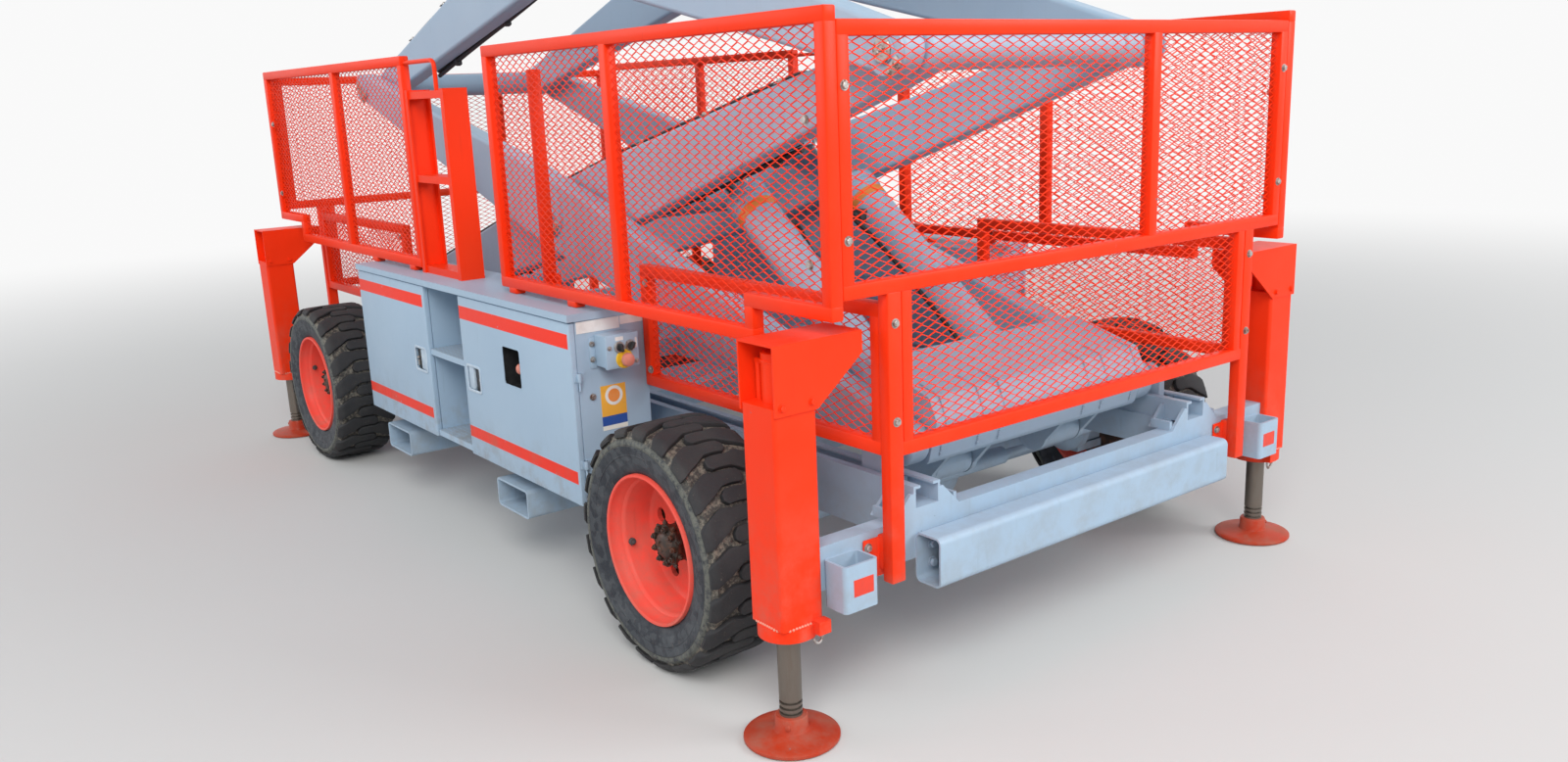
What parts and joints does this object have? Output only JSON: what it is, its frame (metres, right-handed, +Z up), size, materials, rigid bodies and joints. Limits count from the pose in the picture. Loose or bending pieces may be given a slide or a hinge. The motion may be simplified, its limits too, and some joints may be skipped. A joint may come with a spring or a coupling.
{
  "type": "rough terrain scissor lift",
  "caption": "Four-wheel scissor lift with outriggers, stacked crossed arms, mesh guards, side cabinets, fork pockets and a railed platform with roll-out deck.",
  "frame": {"origin": "on the ground at the middle of the machine", "axes": "+Z up, +X towards the steered front end, -Y the side with the control box"},
  "size_m": [4.68, 2.528, 6.5661],
  "materials": {
    "orange_paint": "gloss paint, chipped at edges",
    "grey_paint": "satin paint",
    "tyre_rubber": "dusty rubber",
    "outrigger_steel": "paint and bare steel rod",
    "rod_chrome": "plated",
    "engine_iron": "cast, oily"
  },
  "bodies": {
    "chassis": {"chassis_frame": "grey_paint", "fork_pockets": "grey_paint", "outrigger_legs": "orange_paint", "front_axle": "grey_paint", "rear_axle": "grey_paint", "cabinet_right": "grey_paint", "cabinet_left": "grey_paint", "control_box": "grey_paint", "power_pack": "engine_iron", "side_guards": "orange_paint", "end_guard_front": "orange_paint", "end_guard_rear": "orange_paint", "ladder": "orange_paint"},
    "outrigger_front_right": {"outrigger_foot_front_right": "outrigger_steel"},
    "outrigger_front_left": {"outrigger_foot_front_left": "outrigger_steel"},
    "outrigger_rear_right": {"outrigger_foot_rear_right": "outrigger_steel"},
    "outrigger_rear_left": {"outrigger_foot_rear_left": "outrigger_steel"},
    "knuckle_right": {"knuckle_right": "grey_paint"},
    "knuckle_left": {"knuckle_left": "grey_paint"},
    "wheel_front_right": {"rim_front_right": "orange_paint", "tyre_front_right": "tyre_rubber"},
    "wheel_front_left": {"rim_front_left": "orange_paint", "tyre_front_left": "tyre_rubber"},
    "wheel_rear_right": {"rim_rear_right": "orange_paint", "tyre_rear_right": "tyre_rubber"},
    "wheel_rear_left": {"rim_rear_left": "orange_paint", "tyre_rear_left": "tyre_rubber"},
    "door_rear_right": {"door_rear_right": "grey_paint"},
    "door_rear_left": {"door_rear_left": "grey_paint"},
    "door_front_right": {"door_front_right": "grey_paint"},
    "door_front_left": {"door_front_left": "grey_paint"},
    "inner_arms_1": {"inner_arms_1": "grey_paint"},
    "outer_arms_1": {"outer_arms_1": "grey_paint"},
    "inner_arms_2": {"inner_arms_2": "grey_paint"},
    "outer_arms_2": {"outer_arms_2": "grey_paint"},
    "inner_arms_3": {"inner_arms_3": "grey_paint"},
    "outer_arms_3": {"outer_arms_3": "grey_paint"},
    "inner_arms_4": {"inner_arms_4": "grey_paint"},
    "outer_arms_4": {"outer_arms_4": "grey_paint"},
    "steering_rod": {"steering_rod": "grey_paint"},
    "track_shoes": {"track_shoes": "grey_paint"},
    "lift_barrels": {"lift_barrels": "grey_paint"},
    "lift_rods": {"lift_rods": "rod_chrome"},
    "platform": {"platform_deck": "grey_paint", "platform_rails": "orange_paint"},
    "extension_deck": {"extension_deck": "grey_paint"},
    "platform_gate": {"platform_gate": "orange_paint"}
  },
  "joints": [
    {"name": "scissor_raise", "type": "hinge", "parent": "chassis", "child": "inner_arms_1", "pos_m": [-2.1, 0, 0.69], "axis": [0, -1, 0], "range_deg": [-11.1, 39.6]},
    {"name": "cross_pin_1", "type": "hinge", "parent": "inner_arms_1", "child": "outer_arms_1", "pos_m": [-0.03009, 0, 1.26015], "axis": [0, -1, 0], "range_deg": [-79.25, 22.25]},
    {"name": "rear_pin_1", "type": "hinge", "parent": "outer_arms_1", "child": "inner_arms_2", "pos_m": [-2.1, 0, 1.8303], "axis": [0, -1, 0], "range_deg": [-22.25, 79.25]},
    {"name": "cross_pin_2", "type": "hinge", "parent": "inner_arms_2", "child": "outer_arms_2", "pos_m": [-0.03009, 0, 2.40045], "axis": [0, -1, 0], "range_deg": [-79.25, 22.25]},
    {"name": "rear_pin_2", "type": "hinge", "parent": "outer_arms_2", "child": "inner_arms_3", "pos_m": [-2.1, 0, 2.9706], "axis": [0, -1, 0], "range_deg": [-22.25, 79.25]},
    {"name": "cross_pin_3", "type": "hinge", "parent": "inner_arms_3", "child": "outer_arms_3", "pos_m": [-0.03009, 0, 3.54074], "axis": [0, -1, 0], "range_deg": [-79.25, 22.25]},
    {"name": "rear_pin_3", "type": "hinge", "parent": "outer_arms_3", "child": "inner_arms_4", "pos_m": [-2.1, 0, 4.11089], "axis": [0, -1, 0], "range_deg": [-22.25, 79.25]},
    {"name": "cross_pin_4", "type": "hinge", "parent": "inner_arms_4", "child": "outer_arms_4", "pos_m": [-0.03009, 0, 4.68104], "axis": [0, -1, 0], "range_deg": [-79.25, 22.25]},
    {"name": "platform_pin", "type": "hinge", "parent": "outer_arms_4", "child": "platform", "pos_m": [-2.1, 0, 5.25119], "axis": [0, -1, 0], "range_deg": [-11.15, 39.65]},
    {"name": "shoe_pin", "type": "hinge", "parent": "outer_arms_1", "child": "track_shoes", "pos_m": [2.03983, 0, 0.69], "axis": [0, -1, 0], "range_deg": [-11.15, 39.65]},
    {"name": "barrel_pin", "type": "hinge", "parent": "outer_arms_1", "child": "lift_barrels", "pos_m": [1.91985, 0, 0.55004], "axis": [0, -1, 0], "range_deg": [-1, 2.5]},
    {"name": "lift_stroke", "type": "slide", "parent": "lift_barrels", "child": "lift_rods", "axis": [-0.7834, 0, 0.6215], "range_m": [-0.26, 0.89]},
    {"name": "outrigger_front_right", "type": "slide", "parent": "chassis", "child": "outrigger_front_right", "axis": [0, 0, 1], "range_m": [0, 0.235]},
    {"name": "outrigger_front_left", "type": "slide", "parent": "chassis", "child": "outrigger_front_left", "axis": [0, 0, 1], "range_m": [0, 0.235]},
    {"name": "outrigger_rear_right", "type": "slide", "parent": "chassis", "child": "outrigger_rear_right", "axis": [0, 0, 1], "range_m": [0, 0.235]},
    {"name": "outrigger_rear_left", "type": "slide", "parent": "chassis", "child": "outrigger_rear_left", "axis": [0, 0, 1], "range_m": [0, 0.235]},
    {"name": "steer_right", "type": "hinge", "parent": "chassis", "child": "knuckle_right", "pos_m": [1.575, -0.88, 0.385], "axis": [0, 0, 1], "range_deg": [-22, 22]},
    {"name": "steer_left", "type": "hinge", "parent": "chassis", "child": "knuckle_left", "pos_m": [1.575, 0.88, 0.385], "axis": [0, 0, 1], "range_deg": [-22, 22]},
    {"name": "wheel_front_right_spin", "type": "hinge", "parent": "knuckle_right", "child": "wheel_front_right", "pos_m": [1.575, -1.06, 0.385], "axis": [0, 1, 0], "continuous": true},
    {"name": "wheel_front_left_spin", "type": "hinge", "parent": "knuckle_left", "child": "wheel_front_left", "pos_m": [1.575, 1.06, 0.385], "axis": [0, 1, 0], "continuous": true},
    {"name": "wheel_rear_right_spin", "type": "hinge", "parent": "chassis", "child": "wheel_rear_right", "pos_m": [-1.575, -1.06, 0.385], "axis": [0, 1, 0], "continuous": true},
    {"name": "wheel_rear_left_spin", "type": "hinge", "parent": "chassis", "child": "wheel_rear_left", "pos_m": [-1.575, 1.06, 0.385], "axis": [0, 1, 0], "continuous": true},
    {"name": "tie_slide", "type": "slide", "parent": "chassis", "child": "steering_rod", "axis": [0, 1, 0], "range_m": [-0.06, 0.06]},
    {"name": "door_rear_right_hinge", "type": "hinge", "parent": "chassis", "child": "door_rear_right", "pos_m": [-0.9383, -1.101, 0.7], "axis": [0, 0, -1], "range_deg": [0, 110]},
    {"name": "door_rear_left_hinge", "type": "hinge", "parent": "chassis", "child": "door_rear_left", "pos_m": [-0.9383, 1.101, 0.7], "axis": [0, 0, 1], "range_deg": [0, 110]},
    {"name": "door_front_right_hinge", "type": "hinge", "parent": "chassis", "child": "door_front_right", "pos_m": [1.0663, -1.101, 0.7], "axis": [0, 0, 1], "range_deg": [0, 110]},
    {"name": "door_front_left_hinge", "type": "hinge", "parent": "chassis", "child": "door_front_left", "pos_m": [1.0663, 1.101, 0.7], "axis": [0, 0, -1], "range_deg": [0, 110]},
    {"name": "extension_slide", "type": "slide", "parent": "platform", "child": "extension_deck", "axis": [1, 0, 0], "range_m": [0, 1]},
    {"name": "gate_hinge", "type": "hinge", "parent": "platform", "child": "platform_gate", "pos_m": [-1.496, -1.054, 6], "axis": [0, 0, 1], "range_deg": [0, 90]}
  ],
  "couplings": [
    {"joint": "cross_pin_1", "follows": "scissor_raise", "ratio": -2},
    {"joint": "rear_pin_1", "follows": "scissor_raise", "ratio": 2},
    {"joint": "cross_pin_2", "follows": "scissor_raise", "ratio": -2},
    {"joint": "rear_pin_2", "follows": "scissor_raise", "ratio": 2},
    {"joint": "cross_pin_3", "follows": "scissor_raise", "ratio": -2},
    {"joint": "rear_pin_3", "follows": "scissor_raise", "ratio": 2},
    {"joint": "cross_pin_4", "follows": "scissor_raise", "ratio": -2},
    {"joint": "platform_pin", "follows": "scissor_raise", "ratio": 1},
    {"joint": "shoe_pin", "follows": "scissor_raise", "ratio": 1},
    {"joint": "barrel_pin", "follows": "scissor_raise", "ratio": 0.05},
    {"joint": "lift_stroke", "follows": "scissor_raise", "m_per_rad": 1.275},
    {"joint": "steer_left", "follows": "steer_right", "ratio": 1},
    {"joint": "tie_slide", "follows": "steer_right", "m_per_rad": 0.15}
  ]
}
